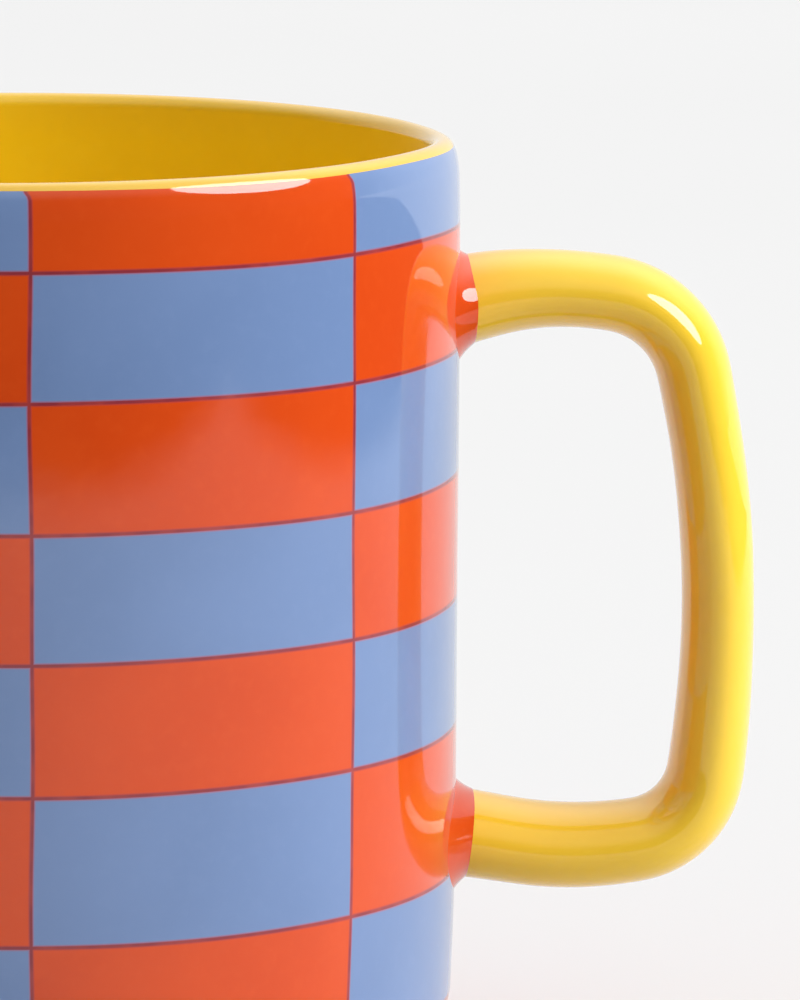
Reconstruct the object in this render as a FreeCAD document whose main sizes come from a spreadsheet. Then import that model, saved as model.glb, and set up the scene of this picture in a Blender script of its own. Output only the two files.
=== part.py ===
import FreeCAD, Part
import math
import os
import Sketcher
from FreeCAD import Placement, Rotation, Vector

# A glazed stoneware mug: a straight-sided vessel, a rod handle stuck on with slip, and
# the coloured glazes that cover both. Millimetres, +Z up. The origin is the centre of
# the foot ring's standing face, Z is the vessel's axis and the handle points along +X.
# Glaze sizes are finished sizes; the clay under a glaze is smaller by "glaze".

DIMENSIONS = [
    ("mug_height", 101.0),
    ("glaze", 0.4),
    # outside of the vessel, from the foot up
    ("foot_inner_radius", 33.6),
    ("foot_recess", 1.5),
    ("foot_rise", 0.8),
    ("corner_radius", 9.1),
    ("base_radius", 47.5),
    ("low_bow_radius", 520.0),
    ("low_bow_top", 34.0),
    ("waist_radius", 48.0),
    ("swell_height", 72.0),
    ("body_radius", 48.24),
    ("shoulder_height", 88.0),
    ("shoulder_bow_radius", 125.0),
    # lip and inside
    ("lip_radius", 1.4),
    ("rim_edge_angle", 27.5),
    ("bore_radius", 44.9),
    ("bore_floor", 6.6),
    ("bore_corner_radius", 9.0),
    # checkerboard of the outer glaze
    ("tile_columns", 8.0),
    ("first_seam_angle", -87.0),
    ("line_width", 0.5),
    ("row_line_1", 8.9),
    ("row_line_2", 22.65),
    ("row_line_3", 38.2),
    ("row_line_4", 51.9),
    ("row_line_5", 65.25),
    ("row_line_6", 78.7),
    ("row_line_7", 92.0),
    # handle: corners of its centre line, and the bend at each
    ("root_x", 46.6),
    ("upper_root_z", 82.44),
    ("upper_arm_x", 56.0),
    ("upper_arm_z", 84.7),
    ("upper_arm_bend", 38.3),
    ("top_corner_x", 72.0),
    ("top_corner_z", 82.8),
    ("top_corner_bend", 10.6),
    ("grip_x", 77.6),
    ("grip_z", 52.0),
    ("grip_bend", 123.5),
    ("bottom_corner_x", 74.0),
    ("bottom_corner_z", 25.3),
    ("bottom_corner_bend", 8.8),
    ("lower_arm_x", 59.9),
    ("lower_arm_z", 23.5),
    ("lower_arm_bend", 40.2),
    ("lower_root_z", 25.7),
    # handle: half its glazed thickness along it, and half its width along Y
    ("root_radius", 5.0),
    ("upper_arm_radius", 4.05),
    ("grip_radius", 3.85),
    ("lower_arm_radius", 4.45),
    ("root_half_width", 7.6),
    ("upper_arm_half_width", 7.0),
    ("grip_half_width", 6.9),
    ("lower_arm_half_width", 7.1),
    # collars of slip at the two roots
    ("collar_x", 46.0),
    ("upper_collar_z", 83.1),
    ("lower_collar_z", 25.4),
    ("collar_length", 4.0),
    ("collar_foot_radius", 7.6),
    ("collar_end_radius", 4.85),
    ("collar_foot_half_width", 11.0),
    ("collar_end_half_width", 8.0),
    ("slip_length", 3.5),
    ("slip_foot_radius", 7.05),
    ("slip_end_radius", 4.65),
    ("slip_foot_half_width", 10.4),
    ("slip_end_half_width", 7.75),
]

ROW_LINES = 7
GLAZE = "dims.glaze"
LIP_X = "dims.bore_radius + dims.lip_radius"
LIP_Z = "dims.mug_height - dims.lip_radius"
WEDGE_RADIUS = 60.0  # any radius outside the vessel
BELOW_FOOT = -2.0
ABOVE_LIP = 110.0

doc = FreeCAD.newDocument("stoneware_mug")


def make_sheet():
    """The driving dimensions, one aliased cell each."""
    sheet = doc.addObject("Spreadsheet::Sheet", "dims")
    for row, (alias, size) in enumerate(DIMENSIONS, start=1):
        sheet.set(f"A{row}", alias)
        sheet.set(f"B{row}", str(size))
        sheet.setAlias(f"B{row}", alias)
    doc.recompute()
    return sheet


dims = make_sheet()


def size_of(expression):
    """The number that an expression over the sheet comes to."""
    return float(dims.evalExpression(expression))


def bind(obj, sizes):
    """Bind properties of an object to expressions over the sheet."""
    for name, expression in sizes.items():
        obj.setExpression(name, expression)


# ---- sketches ----


def new_body(label):
    body = doc.addObject("PartDesign::Body", label)
    body.Label = label
    return body


def new_sketch(body, name, plane="XZ_Plane"):
    """An empty sketch on one of the body's own origin planes."""
    sketch = body.newObject("Sketcher::SketchObject", name)
    planes = [item for item in body.Origin.OriginFeatures if item.Role == plane]
    sketch.AttachmentSupport = [(planes[0], "")]
    sketch.MapMode = "FlatFace"
    return sketch


def pin_point(sketch, edge, end, x, z):
    """Hold one end of an edge at the sheet's x and z."""
    for kind, axis, expression in (("DistanceX", -2, x), ("DistanceY", -1, z)):
        size = size_of(expression)
        if size == 0:
            sketch.addConstraint(Sketcher.Constraint("PointOnObject", edge, end, axis))
            continue
        constraint = Sketcher.Constraint(kind, -1, 1, edge, end, size)
        index = sketch.addConstraint(constraint)
        sketch.setExpression(f"Constraints[{index}]", expression)


def arc_between(start, end, bend):
    """Minor arc from start to end; a positive bend turns left, a negative one right."""
    first, last = (start, end) if bend > 0 else (end, start)
    chord = last - first
    middle = (first + last) * 0.5
    left = Vector(-chord.y, chord.x, 0).normalize()
    reach = math.sqrt(bend**2 - chord.Length**2 / 4)
    centre = middle + left * reach
    circle = Part.Circle(centre, Vector(0, 0, 1), abs(bend))
    from_centre, to_centre = first - centre, last - centre
    start_angle = math.atan2(from_centre.y, from_centre.x)
    end_angle = math.atan2(to_centre.y, to_centre.x)
    return Part.ArcOfCircle(circle, start_angle, end_angle)


def draw_outline(sketch, outline):
    """Closed outline from (x, z, bend) corners; a bend of None is a straight edge."""
    places = [Vector(size_of(x), size_of(z), 0) for x, z, _ in outline]
    ends = []
    for index, (x, z, bend) in enumerate(outline):
        start, end = places[index], places[(index + 1) % len(outline)]
        if bend is None:
            sketch.addGeometry(Part.LineSegment(start, end))
            ends.append((1, 2))
            continue
        radius = size_of(bend)
        sketch.addGeometry(arc_between(start, end, radius))
        ends.append((1, 2) if radius > 0 else (2, 1))
        constraint = sketch.addConstraint(Sketcher.Constraint("Radius", index, abs(radius)))
        sketch.setExpression(f"Constraints[{constraint}]", f"abs({bend})")
    for index, (x, z, _) in enumerate(outline):
        previous = (index - 1) % len(outline)
        joint = Sketcher.Constraint(
            "Coincident", previous, ends[previous][1], index, ends[index][0]
        )
        sketch.addConstraint(joint)
        pin_point(sketch, index, ends[index][0], x, z)


def walked_back(run):
    """The same run of corners the other way round, where each bend turns the other way."""
    bends = [f"-({bend})" if bend else None for _, _, bend in run[:-1]]
    bends.reverse()
    corners = [(x, z) for x, z, _ in reversed(run)]
    return [(x, z, bend) for (x, z), bend in zip(corners, bends + [None])]


def revolved(label, outline):
    """A body turned about the vessel's axis."""
    body = new_body(label)
    sketch = new_sketch(body, f"{label}_outline")
    draw_outline(sketch, outline)
    turn = body.newObject("PartDesign::Revolution", f"{label}_turn")
    turn.Profile = sketch
    turn.ReferenceAxis = (sketch, ["V_Axis"])
    turn.Angle = 360
    body.Tip = turn
    return body


# ---- vessel and the glazes on it ----


def rim_edge(inset):
    """Where the outer glazes end on the lip's outer shoulder."""
    radius = f"(dims.lip_radius - {inset})"
    x = f"{LIP_X} + {radius} * cos(dims.rim_edge_angle)"
    z = f"{LIP_Z} + {radius} * sin(dims.rim_edge_angle)"
    return x, z


def outer_run(inset):
    """The outside from the foot's edge up to the rim edge, set in by a thickness."""
    rim_x, rim_z = rim_edge(inset)
    corner = f"dims.corner_radius - {inset}"
    bow = f"dims.low_bow_radius - {inset}"
    shoulder = f"dims.shoulder_bow_radius - {inset}"
    lip = f"dims.lip_radius - {inset}"
    return [
        ("dims.base_radius - dims.corner_radius", f"dims.foot_rise + {inset}", corner),
        (f"dims.base_radius - {inset}", "dims.foot_rise + dims.corner_radius", bow),
        (f"dims.waist_radius - {inset}", "dims.low_bow_top", None),
        (f"dims.body_radius - {inset}", "dims.swell_height", None),
        (f"dims.body_radius - {inset}", "dims.shoulder_height", shoulder),
        (f"{LIP_X} + {lip}", LIP_Z, lip),
        (rim_x, rim_z, None),
    ]


def inner_run(inset):
    """From the rim edge over the lip and down the bore to the axis."""
    rim_x, rim_z = rim_edge(inset)
    lip = f"dims.lip_radius - {inset}"
    corner = f"-(dims.bore_corner_radius + {inset})"
    return [
        (rim_x, rim_z, lip),
        (LIP_X, f"dims.mug_height - {inset}", lip),
        (f"dims.bore_radius + {inset}", LIP_Z, None),
        (f"dims.bore_radius + {inset}", "dims.bore_floor + dims.bore_corner_radius", corner),
        ("dims.bore_radius - dims.bore_corner_radius", f"dims.bore_floor - {inset}", None),
        ("0", f"dims.bore_floor - {inset}", None),
    ]


def make_vessel():
    """Clay wall, floor and foot ring in one piece."""
    foot_edge = "dims.base_radius - dims.corner_radius"
    foot = [
        ("0", "dims.foot_recess", None),
        ("dims.foot_inner_radius", "dims.foot_recess", None),
        ("dims.foot_inner_radius", "0", None),
        (f"{foot_edge} - dims.foot_rise", "0", None),
        (foot_edge, "dims.foot_rise", None),
    ]
    return revolved("vessel", foot + outer_run(GLAZE) + inner_run(GLAZE)[1:])


def make_base_glaze():
    """Disc of glaze inside the foot ring."""
    disc = doc.addObject("Part::Cylinder", "base_glaze")
    bind(
        disc,
        {
            "Radius": "dims.foot_inner_radius",
            "Height": GLAZE,
            "Placement.Base.z": f"dims.foot_recess - {GLAZE}",
        },
    )
    return disc


# ---- handle ----


def draw_path(sketch, corners):
    """Straight runs through (x, z, bend) corners, each corner rounded by a tangent arc."""
    places = [Vector(size_of(x), size_of(z), 0) for x, z, _ in corners]
    starts = [places[0]]
    arcs = []
    for index in range(1, len(corners) - 1):
        bend = size_of(corners[index][2])
        back = (places[index - 1] - places[index]).normalize()
        ahead = (places[index + 1] - places[index]).normalize()
        cut = bend / math.tan(back.getAngle(ahead) / 2)
        entry = places[index] + back * cut
        leave = places[index] + ahead * cut
        turns_left = (back.x * ahead.y - back.y * ahead.x) < 0
        arcs.append((entry, leave, bend if turns_left else -bend))
        starts.append(leave)
    stops = [entry for entry, _, _ in arcs] + [places[-1]]
    joint = None
    for index, (start, stop) in enumerate(zip(starts, stops)):
        line = sketch.addGeometry(Part.LineSegment(start, stop))
        if joint is not None:
            sketch.addConstraint(Sketcher.Constraint("Tangent", joint[0], joint[1], line, 1))
        if index == len(arcs):
            break
        entry, leave, bend = arcs[index]
        arc = sketch.addGeometry(arc_between(entry, leave, bend))
        near, far = (1, 2) if bend > 0 else (2, 1)
        sketch.addConstraint(Sketcher.Constraint("Tangent", line, 2, arc, near))
        radius = sketch.addConstraint(Sketcher.Constraint("Radius", arc, abs(bend)))
        sketch.setExpression(f"Constraints[{radius}]", corners[index + 1][2])
        joint = (arc, far)
    last_line = 2 * len(arcs)
    pin_point(sketch, 0, 1, *corners[0][:2])
    pin_point(sketch, last_line, 2, *corners[-1][:2])
    for index in range(1, len(corners) - 1):
        corner = sketch.addGeometry(Part.Point(places[index]), True)
        pin_point(sketch, corner, 1, *corners[index][:2])
        for line in (2 * index - 2, 2 * index):
            sketch.addConstraint(Sketcher.Constraint("PointOnObject", corner, 1, line))


HANDLE_CORNERS = [
    ("dims.root_x", "dims.upper_root_z", None),
    ("dims.upper_arm_x", "dims.upper_arm_z", "dims.upper_arm_bend"),
    ("dims.top_corner_x", "dims.top_corner_z", "dims.top_corner_bend"),
    ("dims.grip_x", "dims.grip_z", "dims.grip_bend"),
    ("dims.bottom_corner_x", "dims.bottom_corner_z", "dims.bottom_corner_bend"),
    ("dims.lower_arm_x", "dims.lower_arm_z", "dims.lower_arm_bend"),
    ("dims.root_x", "dims.lower_root_z", None),
]

# Where the oval section is set: edge of the path, place along that edge, and the dims' name.
HANDLE_SECTIONS = [
    ("Edge1", 0.0, "root"),
    ("Edge3", 0.0, "upper_arm"),
    ("Edge6", 0.5, "grip"),
    ("Edge9", 1.0, "lower_arm"),
    ("Edge11", 1.0, "root"),
]


def draw_oval(section, half_width, half_thickness):
    """An ellipse about the sketch's origin, its long axis along Y."""
    wide, thin = size_of(half_width), size_of(half_thickness)
    sketch_x = section.Placement.Rotation.multVec(Vector(1, 0, 0))
    along_x = abs(sketch_x.y) > 0.5
    long_end = Vector(wide, 0, 0) if along_x else Vector(0, wide, 0)
    short_end = Vector(0, thin, 0) if along_x else Vector(-thin, 0, 0)
    section.addGeometry(Part.Ellipse(long_end, short_end, Vector(0, 0, 0)))
    section.exposeInternalGeometry(0)
    section.addConstraint(Sketcher.Constraint("Coincident", 0, 3, -1, 1))
    section.addConstraint(Sketcher.Constraint("Horizontal" if along_x else "Vertical", 1))
    for axis, half, size in ((1, half_width, wide), (2, half_thickness, thin)):
        index = section.addConstraint(Sketcher.Constraint("Distance", axis, 2 * size))
        section.setExpression(f"Constraints[{index}]", f"2 * ({half})")


def make_rod(label, inset):
    """The handle's rod: oval sections swept along its path, set in by a thickness."""
    body = new_body(label)
    path = new_sketch(body, f"{label}_path")
    draw_path(path, HANDLE_CORNERS)
    doc.recompute()
    sections = []
    for number, (edge, along, place) in enumerate(HANDLE_SECTIONS, start=1):
        section = body.newObject("Sketcher::SketchObject", f"{label}_section_{number}")
        section.AttachmentSupport = [(path, edge)]
        section.MapMode = "NormalToEdge"
        section.MapPathParameter = along
        doc.recompute()
        draw_oval(section, f"dims.{place}_half_width - {inset}", f"dims.{place}_radius - {inset}")
        sections.append(section)
    doc.recompute()
    rod = body.newObject("PartDesign::AdditivePipe", f"{label}_rod")
    rod.Profile = sections[0]
    rod.Spine = (path, [])
    rod.Transformation = "Multisection"
    rod.Sections = [(section, [""]) for section in sections[1:]]
    body.Tip = rod
    return body


def make_cone(name, side, kind):
    """An oval cone pointing along +X, starting inside the vessel's wall."""
    ovals = []
    for end, advance in (("foot", "0"), ("end", f"dims.{kind}_length")):
        oval = doc.addObject("Part::Ellipse", f"{name}_{end}")
        # the ellipse's long axis to Y, its short one to Z
        oval.Placement = Placement(Vector(), Rotation(Vector(0, 1, 0), Vector(0, 0, 1), Vector(1, 0, 0)))
        sizes = {
            "MajorRadius": f"dims.{kind}_{end}_half_width",
            "MinorRadius": f"dims.{kind}_{end}_radius",
            "Placement.Base.x": f"dims.collar_x + {advance}",
            "Placement.Base.z": f"dims.{side}_collar_z",
        }
        bind(oval, sizes)
        ovals.append(oval)
    cone = doc.addObject("Part::Loft", name)
    cone.Sections = ovals
    cone.Solid = True
    cone.Ruled = True
    return cone


# ---- checkerboard ----


def make_wedges():
    """One wedge of space for each tile, in two lists: the orange tiles' and the blue ones'."""
    columns = int(size_of("dims.tile_columns"))
    edges = [f"dims.row_line_{number}" for number in range(1, ROW_LINES + 1)]
    bottoms = [str(BELOW_FOOT)] + [f"{edge} + dims.line_width / 2" for edge in edges]
    tops = [f"{edge} - dims.line_width / 2" for edge in edges] + [str(ABOVE_LIP)]
    gap = "dims.line_width / dims.body_radius * 180 / pi"
    orange, blue = [], []
    for row, (bottom, top) in enumerate(zip(bottoms, tops)):
        for column in range(columns):
            wedge = doc.addObject("Part::Cylinder", f"wedge_{row}_{column}")
            wedge.Radius = WEDGE_RADIUS
            seam = f"dims.first_seam_angle + {column} * 360 / dims.tile_columns"
            turn = size_of(f"{seam} + {gap} / 2")
            wedge.Placement = Placement(Vector(), Rotation(Vector(0, 0, 1), turn))
            sizes = {
                "Height": f"({top}) - ({bottom})",
                "Angle": f"360 / dims.tile_columns - {gap}",
                "Placement.Base.z": bottom,
            }
            bind(wedge, sizes)
            is_orange = (row + column) % 2 == 1
            (orange if is_orange else blue).append(wedge)
    return orange, blue


def grouped(name, parts):
    group = doc.addObject("Part::Compound", name)
    group.Links = parts
    return group


def shared(name, base, tool):
    """What two shapes have in common."""
    common = doc.addObject("Part::Common", name)
    common.Base = base
    common.Tool = tool
    return common


def cut(name, base, tools):
    """The base with each tool taken away in turn; the last cut has the name."""
    for number, tool in enumerate(tools, start=1):
        is_last = number == len(tools)
        step = doc.addObject("Part::Cut", name if is_last else f"{name}_cut_{number}")
        step.Base = base
        step.Tool = tool
        base = step
    return base


# ---- the mug ----

vessel = make_vessel()
base_glaze = make_base_glaze()
inner_glaze = revolved("inner_glaze", inner_run("0") + walked_back(inner_run(GLAZE)))
outer_coat = revolved("outer_coat", outer_run("0") + walked_back(outer_run(GLAZE)))

clay_rod = make_rod("clay_rod", GLAZE)
glazed_rod = make_rod("glazed_rod", "0")
handle = cut("handle", clay_rod, [vessel])

collars = []
for side in ("upper", "lower"):
    collar = make_cone(f"{side}_collar", side, "collar")
    slip = make_cone(f"{side}_slip", side, "slip")
    cut(f"{side}_slip_joint", slip, [vessel, clay_rod])
    cut(f"{side}_collar_glaze", collar, [slip, vessel, clay_rod])
    collars.append(collar)

cut("handle_glaze", glazed_rod, [clay_rod, vessel] + collars)

coat = cut("coat", outer_coat, collars)
orange_wedges, blue_wedges = make_wedges()
shared("orange_tiles", coat, grouped("orange_wedges", orange_wedges))
shared("blue_tiles", coat, grouped("blue_wedges", blue_wedges))
cut("tile_lines", coat, [grouped("all_wedges", orange_wedges + blue_wedges)])

# Every node, and how many separate solids it holds.
TILES_PER_COLOUR = int(size_of("dims.tile_columns")) * (ROW_LINES + 1) // 2
NODES = {
    "vessel": 1,
    "handle": 1,
    "upper_slip_joint": 1,
    "lower_slip_joint": 1,
    "inner_glaze": 1,
    "base_glaze": 1,
    "orange_tiles": TILES_PER_COLOUR,
    "blue_tiles": TILES_PER_COLOUR,
    "tile_lines": 1,
    "handle_glaze": 1,
    "upper_collar_glaze": 1,
    "lower_collar_glaze": 1,
}


def export_nodes():
    """Stop on any failed object, then write one STEP file for each node."""
    doc.recompute()
    for item in doc.Objects:
        if "Invalid" in item.State or "Error" in item.State:
            raise RuntimeError(f"{item.Label} failed: {item.State}")
    shapes = {name: doc.getObject(name).Shape for name in NODES}
    for name, shape in shapes.items():
        print(f"{name}: {len(shape.Solids)} solids, {shape.Volume:.1f} mm3")
        if shape.isNull() or not shape.isValid() or len(shape.Solids) != NODES[name]:
            raise RuntimeError(f"{name} is not the {NODES[name]} valid solids it should be")
    os.makedirs("parts", exist_ok=True)
    for name, shape in shapes.items():
        shape.exportStep(f"parts/{name}.step")


export_nodes()
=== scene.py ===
import math

import bmesh
import bpy
import numpy as np
from mathutils import Matrix, Vector


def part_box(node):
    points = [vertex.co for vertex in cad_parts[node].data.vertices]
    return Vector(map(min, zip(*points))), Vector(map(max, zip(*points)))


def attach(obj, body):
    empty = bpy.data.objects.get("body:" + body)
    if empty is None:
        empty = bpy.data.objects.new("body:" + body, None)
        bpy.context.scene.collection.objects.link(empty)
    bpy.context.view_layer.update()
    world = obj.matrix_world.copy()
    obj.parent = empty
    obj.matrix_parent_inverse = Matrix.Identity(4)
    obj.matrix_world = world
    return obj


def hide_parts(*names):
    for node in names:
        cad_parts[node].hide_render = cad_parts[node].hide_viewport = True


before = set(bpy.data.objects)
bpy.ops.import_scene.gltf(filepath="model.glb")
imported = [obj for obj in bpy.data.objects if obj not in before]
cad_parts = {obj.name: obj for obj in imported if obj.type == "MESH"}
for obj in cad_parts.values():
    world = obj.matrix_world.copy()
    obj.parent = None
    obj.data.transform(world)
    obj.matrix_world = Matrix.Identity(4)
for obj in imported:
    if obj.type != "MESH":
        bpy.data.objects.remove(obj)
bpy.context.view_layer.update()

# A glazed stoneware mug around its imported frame. The shape functions work in millimetres,
# in the frame's own axes (Z up the vessel, handle along +X), and scale by MM when they make
# a mesh. "turn" is an angle round an axis; "s" is a length along the vessel's outline, which
# is 0 at the foot of the side, negative on the foot's corner and positive up to the lip.

MM = 0.001
GLAZE = 0.4

# ---- the vessel's outline, from the frame's boxes and the part's own dimensions ----

LIP_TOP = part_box("inner_glaze")[1].z / MM
FLOOR_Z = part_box("inner_glaze")[0].z / MM + GLAZE
FOOT_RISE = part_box("orange_tiles")[0].z / MM
BORE_RADIUS = 44.9
BORE_CORNER = 9.0


class Arc:
    """Part of the outline that turns: angles are those of the outward normal, 90 is up."""

    def __init__(self, centre, radius, start, stop):
        self.centre, self.radius = centre, radius
        self.start, self.stop = math.radians(start), math.radians(stop)
        self.length = radius * abs(self.stop - self.start)

    def at(self, s):
        angle = self.start + math.copysign(1, self.stop - self.start) * s / self.radius
        x, z = self.centre
        return x + self.radius * np.cos(angle), z + self.radius * np.sin(angle)

    def before(self, radius, start):
        """The wider arc that runs smoothly into the start of this one."""
        step = self.radius - radius
        x = self.centre[0] + step * math.cos(self.start)
        z = self.centre[1] + step * math.sin(self.start)
        return Arc((x, z), radius, start, math.degrees(self.start))


RIM_EDGE = 27.5  # the lip's angle where the tiles end and the liner glaze begins
FOOT_ARC = Arc((38.4, FOOT_RISE + 9.1), 9.1, -90.0, -2.6)
LIP_ARC = Arc((BORE_RADIUS + 1.4, LIP_TOP - 1.4), 1.4, RIM_EDGE, 180.0)
BEVEL_ARC = LIP_ARC.before(4.0, 12.0)
SHOULDER_ARC = BEVEL_ARC.before(12.0, 2.0)

SIDE_X0, SIDE_Z0 = FOOT_ARC.at(FOOT_ARC.length)
SIDE_X1, SIDE_Z1 = SHOULDER_ARC.at(0.0)
# height, radius and slope (radius gained per height) of the side
SIDE_KNOTS = np.array([
    (SIDE_Z0, SIDE_X0, 0.045),
    (31.0, 48.0, 0.006),
    (74.0, 48.24, 0.001),
    (88.0, 48.24, -0.003),
    (SIDE_Z1, SIDE_X1, -0.035),
])
# lengths along the outline at which each stretch starts
SIDE_LENGTH = SIDE_Z1 - SIDE_Z0
FOOT_S = -FOOT_ARC.length
BEVEL_S = SIDE_LENGTH + SHOULDER_ARC.length
RIM_S = BEVEL_S + BEVEL_ARC.length
LIP_END_S = RIM_S + LIP_ARC.length
BORE_END_S = LIP_END_S + LIP_ARC.centre[1] - FLOOR_Z - BORE_CORNER
FLOOR_S = BORE_END_S + BORE_CORNER * math.pi / 2
CENTRE_S = FLOOR_S + BORE_RADIUS - BORE_CORNER

# the checkerboard: heights of its lines, and seams all the way round
ROW_LINES = [8.9, 22.65, 38.2, 51.9, 65.25, 78.7, 92.0]
COLUMNS = 8
FIRST_SEAM = math.radians(-87.0)
COLUMN_ANGLE = 2 * math.pi / COLUMNS
LINE_WIDTH = 0.45
BODY_RADIUS = 48.2
RIM_DROP = 0.8  # how much lower the rim's far side is


def side_radius(z):
    """Radius of the side at height z: a cubic between each two knots, with their slopes."""
    low = np.clip(np.searchsorted(SIDE_KNOTS[:, 0], z) - 1, 0, len(SIDE_KNOTS) - 2)
    z0, r0, m0 = SIDE_KNOTS[low].T
    z1, r1, m1 = SIDE_KNOTS[low + 1].T
    span = z1 - z0
    t = (z - z0) / span
    return (
        (2 * t**3 - 3 * t**2 + 1) * r0
        + (t**3 - 2 * t**2 + t) * span * m0
        + (3 * t**2 - 2 * t**3) * r1
        + (t**3 - t**2) * span * m1
    )


def outline(s):
    """Radius and height at a length s along the outline: foot, side, lip, bore, floor."""
    turn = (s - BORE_END_S) / BORE_CORNER
    inner = BORE_RADIUS - BORE_CORNER
    pieces = [
        (0.0, FOOT_ARC.at(s - FOOT_S)),
        (SIDE_LENGTH, (side_radius(SIDE_Z0 + s), SIDE_Z0 + s)),
        (BEVEL_S, SHOULDER_ARC.at(s - SIDE_LENGTH)),
        (RIM_S, BEVEL_ARC.at(s - BEVEL_S)),
        (LIP_END_S, LIP_ARC.at(s - RIM_S)),
        (BORE_END_S, (BORE_RADIUS, LIP_ARC.centre[1] - (s - LIP_END_S))),
        (FLOOR_S, (inner + BORE_CORNER * np.cos(turn), FLOOR_Z + BORE_CORNER * (1 - np.sin(turn)))),
    ]
    pick = [s < end for end, _ in pieces]
    radius = np.select(pick, [place[0] for _, place in pieces], np.maximum(CENTRE_S - s, 0.0))
    height = np.select(pick, [place[1] for _, place in pieces], FLOOR_Z)
    return radius, height


def smooth_step(x, low, high):
    t = np.clip((x - low) / (high - low), 0.0, 1.0)
    return t * t * (3 - 2 * t)


def wander(turn, s):
    """How far the hand-set lines stray at an angle and length: along the turn and up, in mm."""
    across = 0.10 * np.sin(s / 9.0 + 2.0 * turn) + 0.06 * np.sin(s / 4.1 + 5.0 * turn + 1.7)
    up = 0.10 * np.sin(3.0 * turn + 0.8) + 0.04 * np.sin(7.0 * turn + s / 17.0)
    bent = 0.45 * smooth_step(s, RIM_S - 0.9, RIM_S)
    inside = 1 - smooth_step(s, LIP_END_S - 1.0, LIP_END_S)
    on_foot = smooth_step(s, FOOT_S, FOOT_S + 6.0)
    return (across - bent) * inside * on_foot, up * inside * on_foot


def rim_drop(turn, height):
    """The rim is not quite level: its far side sits lower, fading out down the wall."""
    far = smooth_step(np.sin(turn), -0.55, 0.35)
    return RIM_DROP * far * smooth_step(height, 70.0, 97.0)


def body_surface(turn, s):
    """A point of the glazed vessel, with the slight waves of a hand-finished wall."""
    across, up = wander(turn, s)
    radius, height = outline(s + up)
    height = height - rim_drop(turn, height)
    wave = 0.05 * np.sin(2 * turn + 0.6) * np.sin(s / 14.0 + 1.1)
    wave = wave + 0.02 * np.sin(5 * turn + s / 9.0)
    radius = radius + wave * smooth_step(radius, 0.0, 30.0) * smooth_step(s, FOOT_S, 5.0)
    turn = turn + across / BODY_RADIUS
    return np.stack([radius * np.cos(turn), radius * np.sin(turn), height], axis=-1)


# ---- closed sheets: how the tiles, the overlap lines and the liner are built ----


def normals_of(surface, turn, s, step=0.02):
    """Unit normals of a surface, from differences taken along both of its coordinates."""
    angle = step / BODY_RADIUS
    around = surface(turn + angle, s) - surface(turn - angle, s)
    along = surface(turn, s + step) - surface(turn, s - step)
    normal = np.cross(around, along)
    return normal / np.maximum(np.linalg.norm(normal, axis=-1, keepdims=True), 1e-12)


def sheet_faces(cells, around, count):
    """Quads of a closed sheet over the marked cells: top, bottom and the walls between."""
    rows = cells.shape[0]
    j, k = np.nonzero(cells)
    k1 = (k + 1) % around
    corners = [j * around + k, j * around + k1, (j + 1) * around + k1, (j + 1) * around + k]
    top = np.stack(corners, axis=1)
    bottom = top[:, ::-1] + count
    faces = [top, bottom]
    kinds = [np.zeros(len(top), int), np.ones(len(bottom), int)]
    padded = np.vstack([np.zeros((1, around), bool), cells, np.zeros((1, around), bool)])
    neighbours = {
        (0, 1): padded[:rows][j, k],
        (1, 2): np.roll(cells, -1, axis=1)[j, k],
        (2, 3): padded[2:][j, k],
        (3, 0): np.roll(cells, 1, axis=1)[j, k],
    }
    for (a, b), inside in neighbours.items():
        edge = top[~inside]
        wall = np.stack([edge[:, b], edge[:, a], edge[:, a] + count, edge[:, b] + count], axis=1)
        faces.append(wall)
        kinds.append(np.full(len(wall), 2))
    return np.vstack(faces), np.concatenate(kinds)


def make_mesh(name, points, faces, top_normals, kinds, values):
    """A mesh object in metres, with given normals on its outer and inner faces."""
    used, remade = np.unique(faces, return_inverse=True)
    faces = remade.reshape(faces.shape)
    points, normals = points[used], top_normals[used]
    mesh = bpy.data.meshes.new(name)
    mesh.from_pydata((points * MM).tolist(), [], faces.tolist())
    for key, value in values.items():
        layer = mesh.attributes.new(key, "FLOAT", "POINT")
        layer.data.foreach_set("value", value[used].astype(np.float32))
    layer = mesh.attributes.new("made_normal", "FLOAT_VECTOR", "POINT")
    layer.data.foreach_set("vector", normals.astype(np.float32).ravel())
    layer = mesh.attributes.new("made_kind", "INT", "FACE")
    layer.data.foreach_set("value", kinds.astype(np.int32))
    graph = bmesh.new()
    graph.from_mesh(mesh)
    bmesh.ops.remove_doubles(graph, verts=graph.verts, dist=1e-7)
    graph.to_mesh(mesh)
    graph.free()
    mesh.polygons.foreach_set("use_smooth", np.ones(len(mesh.polygons), bool))
    set_normals(mesh)
    piece = bpy.data.objects.new(name, mesh)
    bpy.context.collection.objects.link(piece)
    return piece


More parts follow.
